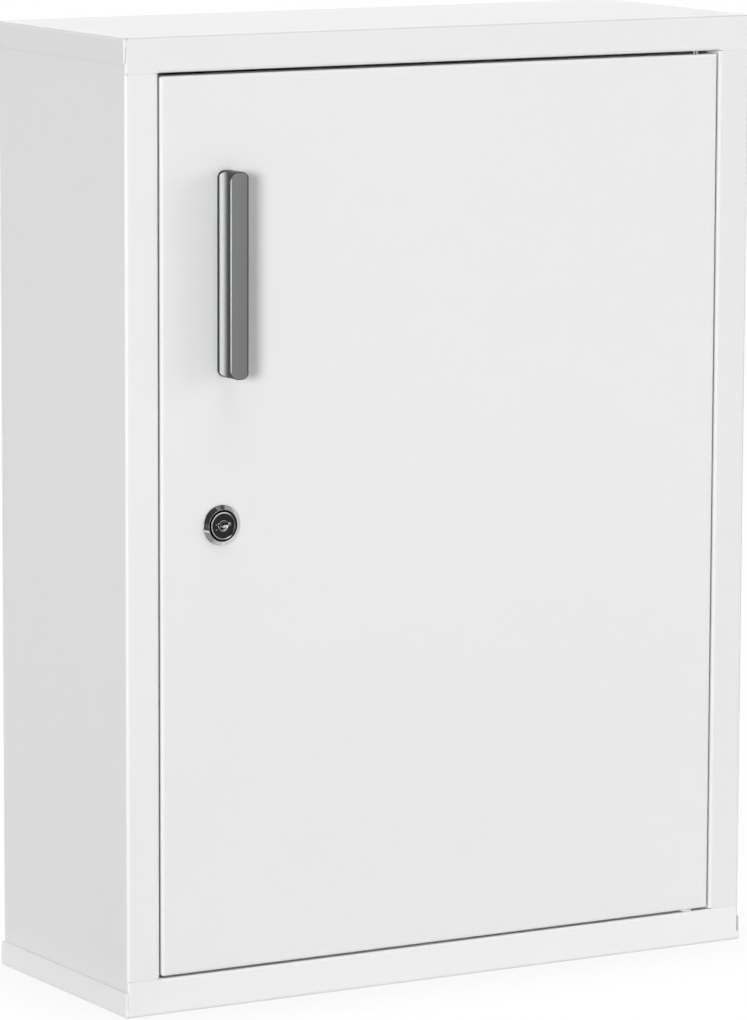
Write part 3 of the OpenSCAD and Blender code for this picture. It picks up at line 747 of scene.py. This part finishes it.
# %% [markdown]
# The screws have a low domed head with a cross recess. The head is a height over a round grid:
# a dome, less a cross-shaped pit whose walls slope a little, as the driver's tip does.

# %% Screws with a cross recess


def cross_screw(seat, head_r, head_t, shank_r, tip, centre=LOCK, sides=96):
    """A dome on a grid of rings, less a sloping cross, then the underside and the shank."""
    rings, tip_chamfer = 40, 0.5
    below = [head_r, shank_r, shank_r, shank_r - tip_chamfer, 0]
    radius = np.concatenate([np.linspace(0, head_r, rings), below])[:, None]
    angle = np.arange(sides)[None, :] * 2 * np.pi / sides
    x, z = np.abs(radius * np.cos(angle)), np.abs(radius * np.sin(angle))
    near, far = np.minimum(x, z), np.maximum(x, z)
    cross = np.clip((0.16 * head_r - near) / 0.25, 0, 1)
    cross = cross * np.clip((0.52 * head_r - far) / 0.5, 0, 1)
    dome = seat + head_t * (0.35 + 0.65 * np.sqrt(np.clip(1 - (radius / head_r) ** 2, 0, 1)))
    depth = dome - 0.75 * head_t * cross
    depth[rings:] = np.array([seat, seat, tip + tip_chamfer, tip, tip])[:, None]
    points = np.stack([radius * np.cos(angle), depth, radius * np.sin(angle)], axis=-1) + centre
    return points.reshape(-1, 3) * MM, grid_faces(len(radius), sides, wrap_columns=True)


cam_bolt = cross_screw(seat=21.2, head_r=5.0, head_t=2.4, shank_r=2.0, tip=15.2)
piece("cam_bolt", [cam_bolt], "lock_core", "bright_steel", ["lock_cam_screw"])
handle_screw_places = [np.array([HANDLE_X / MM, DOOR_FRONT / MM, z]) for z in (407.0, 503.0)]
handle_bolts = [
    cross_screw(seat=1.0, head_r=3.8, head_t=2.4, shank_r=2.0, tip=-8.0, centre=place)
    for place in handle_screw_places]
piece("handle_bolts", handle_bolts, "door", "bright_steel", ["handle_screws"])

# %% [markdown]
# The rubber buffers, the hinge pins and the washer are turned shapes too.

# %% Buffers, pins and washer
PIVOT = np.array([186.1, -80.0, 0.0])
pad = [(0, -1.8), (1.6, -1.76), (2.9, -1.5), (3.7, -1.0), (4.0, -0.4), (4.0, 0), (0, 0)]
pads = [turn(pad, np.array([-194.2, -69.0, z]), sides=48, closed=False) for z in (83.7, 515.9)]
piece("rubber_buffers", pads, "cabinet", "grey_rubber", ["door_buffers"])


def pin(head_seat, tip):
    """Section of a riveted pin: a domed head on its seat, a straight shank and a chamfered tip."""
    way = math.copysign(1.0, head_seat - tip)
    return [
        (0, head_seat + 1.5 * way), (1.2, head_seat + 1.42 * way), (2.3, head_seat + 1.05 * way),
        (2.9, head_seat + 0.4 * way), (2.9, head_seat), (2.0, head_seat), (2.0, tip + 0.5 * way),
        (1.5, tip), (0, tip),
    ]


for name, head_seat, tip in (("upper", 579.0, 569.9), ("lower", 21.5, 29.7)):
    piece(f"{name}_pivot", [turn(pin(head_seat, tip), PIVOT, "z", 48, closed=False)],
          "cabinet", "bright_steel", [f"{name}_hinge_pin"])
washer_section = rounded([(2.05, 22.5), (4.0, 22.5), (4.0, 23.65), (2.05, 23.65)], 0.25)
washer = turn(washer_section, PIVOT, "z", 64)
piece("pivot_washer", [washer], "cabinet", "white_nylon", ["lower_hinge_washer"])

# %% [markdown]
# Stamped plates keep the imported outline. A copy of each is welded, its flat faces are joined
# again, and a narrow bevel breaks the edges, as tumbling the stampings in a drum does.

# %% Stamped and bent plates


def tumbled(node_name, name, width, body, slot):
    """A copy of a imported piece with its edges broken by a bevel."""
    work = bmesh.new()
    work.from_mesh(nodes[node_name].data)
    bmesh.ops.remove_doubles(work, verts=work.verts, dist=0.002 * MM)
    bmesh.ops.dissolve_limit(
        work, angle_limit=math.radians(0.5), verts=work.verts, edges=work.edges)
    mesh = bpy.data.meshes.new(name)
    work.to_mesh(mesh)
    work.free()
    break_edges(finish_piece(name, mesh, body, slot, [node_name]), "tumbled_edges", width, 35)


tumbled("lock_cam", "cam_plate", 0.25, "lock_core", "zinc_plate")
for end in ("upper", "lower"):
    tumbled(f"{end}_hinge_plate", f"{end}_pivot_plate", 0.3, "door", "zinc_plate")
for level in ("lower", "middle", "upper"):
    tumbled(f"{level}_shelf_clips", f"{level}_clips", 0.15, "cabinet", "zinc_plate")

# %% [markdown]
# Spot welds hold the door's stiffener and the back panel. Each leaves a round mark a few
# millimetres wide. They are low caps, all made from one pattern that is set down in rows.

# %% Spot welds
WELD_R, WELD_H, WELD_ROWS = 2.6, 0.14, 9


def weld_marks(places, rings=7, sides=24):
    """Caps that rise as a cosine from the sheet's face to their middle, facing the back."""
    reach = np.linspace(0, 1, rings)[:, None]
    angle = np.arange(sides)[None, :] * 2 * np.pi / sides
    rise = WELD_H * (0.5 + 0.5 * np.cos(np.pi * reach)) - 0.03
    across, up = WELD_R * reach * np.cos(angle), WELD_R * reach * np.sin(angle)
    cap = np.stack(np.broadcast_arrays(across, rise, up), axis=-1)
    base = cap[-1:] - (0, 0.3, 0)
    under = base * (0, 1, 0)
    grid = np.concatenate([cap, base, under])
    faces = grid_faces(len(grid), sides, wrap_columns=True)
    return [((grid + place).reshape(-1, 3) * MM, faces) for place in places]


for name, body, half_apart, depth, low, high in (
        ("stiffener_welds", "door", 26.0, -83.0, 95, 504),
        ("back_welds", "cabinet", 214.0, 84.0, 40, 560)):
    heights = np.linspace(low, high, WELD_ROWS)
    places = [np.array([x, depth, z]) for x in (-half_apart, half_apart) for z in heights]
    piece(name, weld_marks(places), body, "white_coat")

# %% [markdown]
# Where a stile meets a rail, the powder bridges the narrow seam and leaves only a faint line.
# Each bridge is a thin strip that lies a little deeper than the sheets beside it.

# %% Powder in the seams of the front
SHEET_FRONT = -85.0
STILES, SEAMS = ((-222.0, -203.6), (203.6, 222.0)), (22.65, 577.85)


def seam_strip(x0, x1, middle, half=0.2, sunk=0.12, sag=0.05, thick=0.5):
    """A strip from x0 to x1, closed at its ends, whose front sags as a parabola."""
    across = np.linspace(-1, 1, 7)
    face_y, back_y = SHEET_FRONT + sunk + sag * (1 - across**2), SHEET_FRONT + thick
    front = np.stack([face_y, middle + half * across], axis=-1)
    back = np.array([[back_y, middle + half], [back_y, middle - half]])
    section = np.concatenate([front, back])
    core = np.broadcast_to(section.mean(axis=0), section.shape)
    rows = [(x0, core), (x0, section), (x1, section), (x1, core)]
    points = np.concatenate([np.insert(shape, 0, x, axis=1) for x, shape in rows])
    return points * MM, grid_faces(4, len(section), wrap_columns=True)


strips = [seam_strip(*span, middle) for span in STILES for middle in SEAMS]
piece("seam_powder", strips, "cabinet", "white_coat")

# %% [markdown]
# The photograph has a white ground. The floor is a large plain sheet that is only light grey
# to the lamps, so that it throws back less at the cabinet than white would. To the camera and
# in mirrors it glows white, a little darker where the cabinet stands on it.

# %% The floor, and how a card is made


def card(name, corners, strength=None):
    """A flat four-cornered sheet for the stage. With a strength, it shows only in reflections."""
    mesh = bpy.data.meshes.new(name)
    mesh.from_pydata(corners, [], [(0, 1, 2, 3)])
    made = bpy.data.objects.new(name, mesh)
    bpy.context.scene.collection.objects.link(made)
    if strength is None:
        return made
    finish = Finish(name, (0.0, 0.0, 0.0), 1.0, Specular_IOR_Level=0.0,
                    Emission_Color=(1, 1, 1, 1), Emission_Strength=strength)
    mesh.materials.append(finish.material)
    for ray in ("visible_camera", "visible_diffuse", "visible_shadow", "visible_transmission"):
        setattr(made, ray, False)
    return made


def upright_card(name, azimuth, distance, width, low, high, strength):
    """A card that stands square to a direction, counted in degrees from the front to the left."""
    turned_by = math.radians(azimuth)
    middle = np.array([-math.sin(turned_by), -math.cos(turned_by)]) * distance
    along = np.array([math.cos(turned_by), -math.sin(turned_by)]) * width / 2
    (ax, ay), (bx, by) = middle - along, middle + along
    return card(name, [(ax, ay, low), (bx, by, low), (bx, by, high), (ax, ay, high)], strength)


def level_card(name, left, right, front, back, height, strength=None):
    """A card that lies level, between its left and right edges and its front and back ones."""
    places = [(left, front), (right, front), (right, back), (left, back)]
    return card(name, [(x, y, height) for x, y in places], strength)


FLOOR = 8.0
floor = level_card("floor", -FLOOR, FLOOR, -FLOOR, FLOOR, 0)
floor_finish = Finish("floor_white", (0.6, 0.6, 0.6), 1.0, Specular_IOR_Level=0.0)
floor.data.materials.append(floor_finish.material)
# A painted contact shadow: the glow is darker where occlusion by the cabinet is high.
painted_contact_shadow = floor_finish.node("ShaderNodeAmbientOcclusion", {"Distance": 0.08}, output="AO")
seen, mirrored, through = (
    floor_finish.node("ShaderNodeLightPath", {}, output=f"Is {kind} Ray")
    for kind in ("Camera", "Glossy", "Transmission"))
glow = floor_finish.node("ShaderNodeEmission", {"Strength": 0.88 + painted_contact_shadow * 0.12})
lit = Value(floor_finish, floor_finish.shader.outputs[0])
direct = seen.larger(mirrored).larger(through)
shown = floor_finish.node("ShaderNodeMixShader", {0: direct, 1: lit, 2: glow})
surface = floor_finish.tree.nodes["Material Output"].inputs["Surface"]
floor_finish.tree.links.new(shown.socket, surface)
print("floor", 2 * FLOOR, "m wide")

# %% [markdown]
# The metals in the photograph mirror a dark room past the front edge of the white table, and a
# bright lamp at the left. So dark cards stand where the room's walls, floor and ceiling would
# be, and a bright one where the lamp's front would be. They are seen by reflections alone, and
# take no light from the white sheets.

# %% The cards round the cabinet
# Each has its direction, its distance, its width, its lower and upper edge, and its strength.
for row in (
        ("front_card", -48, 1.6, 1.6, 0.0, 1.4, 0.29),
        ("right_card", -82, 1.5, 1.5, 0.0, 2.2, 0.45),
        ("left_card", 35, 1.6, 2.2, 0.35, 2.2, 0.05),
        ("left_card_foot", 35, 1.6, 2.2, 0.0, 0.35, 0.12),
        ("side_card", 115, 1.5, 1.2, 0.0, 1.4, 0.15),
        ("bright_card", 78, 1.5, 0.86, 0.0, 1.2, 3.2),
        ("back_card", 150, 1.5, 1.3, 0.0, 1.2, 0.08)):
    upright_card(*row)
# Each has its left, right, front and back edge, its height, and its strength.
for row in (
        ("ceiling", -2.5, 0.0, -3.0, 0.4, 2.2, 0.05),
        ("ceiling_lamp", 0.0, 0.62, -3.0, 0.4, 2.2, 0.25),
        ("ceiling_beam", 0.62, 1.25, -3.0, 0.4, 2.2, 0.1),
        ("ceiling_right", 1.25, 2.6, -3.0, 0.4, 2.2, 0.25),
        ("room_floor", -0.3, 3.0, -1.6, -0.42, 0.004, 0.1),
        ("room_floor_left", -1.8, -0.3, -1.6, -0.53, 0.004, 0.1),
        # The three shade cards are a painted shadow: the cabinet's shade on the floor, seen only
        # in reflections.
        ("shade_near", -0.12, -0.02, -0.42, -0.09, 0.004, 0.69),
        ("shade_middle", -0.195, -0.12, -0.42, -0.09, 0.004, 0.55),
        ("shade_far", -1.0, -0.195, -0.42, -0.09, 0.004, 0.35),
        ("side_floor", -1.8, -0.25, -0.05, 1.4, 0.004, 0.12)):
    level_card(*row)

# %% [markdown]
# Four soft lamps light it. The strong one from the left throws the handle's shadow, the one from
# the right fills the front, and two from above light the top and the back. The left one isn't
# mirrored, because the bright card stands for it there.

# %% Lamps


def aim(name, lamp, azimuth, elevation, distance=3.0, height=0.3):
    """Puts a lamp in a direction from the cabinet, in degrees to the left and up."""
    made = bpy.data.objects.new(name, lamp)
    bpy.context.scene.collection.objects.link(made)
    a, e = math.radians(azimuth), math.radians(elevation)
    out = Vector((-math.sin(a) * math.cos(e), -math.cos(a) * math.cos(e), math.sin(e)))
    made.location = Vector((0, 0, height)) + out * distance
    made.rotation_euler = out.to_track_quat("Z", "Y").to_euler()
    made.visible_camera = False
    return made


def far_lamp(name, azimuth, elevation, softness, level):
    """A broad lamp so far off that it lights everything alike, with its width in degrees."""
    lamp = bpy.data.lights.new(name, "SUN")
    lamp.angle = math.radians(softness)
    lamp.energy = level * math.pi
    return aim(name, lamp, azimuth, elevation)


LEFT, RIGHT, TOP, BACK = 0.73, 0.22, 0.33, 0.40
far_lamp("left_lamp", 47, 6, 16, LEFT).visible_glossy = False
far_lamp("right_lamp", -63, 10, 28, RIGHT)
far_lamp("top_lamp", 10, 75, 30, TOP)
far_lamp("back_lamp", 200, 55, 40, BACK)

# %% [markdown]
# The world adds a weak even light from everywhere, which keeps the shadows soft. Where it is
# seen itself, by the camera or in a mirror, it is plain white like the photograph's ground.

# %% The world
AMBIENT = 0.15
world = bpy.data.worlds.new("studio")
bpy.context.scene.world = world
world.use_nodes = True
tree = world.node_tree
ambient, plain = tree.nodes["Background"], tree.nodes.new("ShaderNodeBackground")
for background, strength in ((ambient, AMBIENT), (plain, 1.0)):
    background.inputs["Color"].default_value = (1, 1, 1, 1)
    background.inputs["Strength"].default_value = strength
rays = tree.nodes.new("ShaderNodeLightPath")
direct = rays.outputs["Is Camera Ray"]
for kind in ("Glossy", "Transmission"):
    larger = tree.nodes.new("ShaderNodeMath")
    larger.operation = "MAXIMUM"
    tree.links.new(direct, larger.inputs[0])
    tree.links.new(rays.outputs[f"Is {kind} Ray"], larger.inputs[1])
    direct = larger.outputs[0]
mix = tree.nodes.new("ShaderNodeMixShader")
for socket, source in enumerate((direct, ambient.outputs[0], plain.outputs[0])):
    tree.links.new(source, mix.inputs[socket])
tree.links.new(mix.outputs[0], tree.nodes["World Output"].inputs["Surface"])
bpy.context.scene.view_settings.view_transform = "Standard"
print("lamps", LEFT, RIGHT, TOP, BACK, "and ambient", AMBIENT)

# %% [markdown]
# The camera's place and lens come from the perspective of the photograph's straight edges.

# %% Camera
LENS, SENSOR = 208.38, 36.0
PLACE = (-1.874756, -3.200915, 0.852805)
YAW, PITCH, ROLL = 0.52947, 0.15130, 0.00358

camera_data = bpy.data.cameras.new("camera")
camera_data.lens = LENS
camera_data.sensor_width = SENSOR
camera = bpy.data.objects.new("camera", camera_data)
bpy.context.scene.collection.objects.link(camera)
bpy.context.scene.camera = camera
level = math.cos(PITCH)
forward = Vector((math.sin(YAW) * level, math.cos(YAW) * level, -math.sin(PITCH)))
level_right = Vector((math.cos(YAW), -math.sin(YAW), 0.0))
level_up = level_right.cross(forward)
camera_right = math.cos(ROLL) * level_right + math.sin(ROLL) * level_up
camera_up = math.cos(ROLL) * level_up - math.sin(ROLL) * level_right
turned_to = Matrix((camera_right, camera_up, -forward)).transposed().to_4x4()
camera.matrix_world = Matrix.Translation(PLACE) @ turned_to
print("camera", LENS, "mm lens,", round(math.dist(PLACE, (0, 0, 0)), 2), "m away")
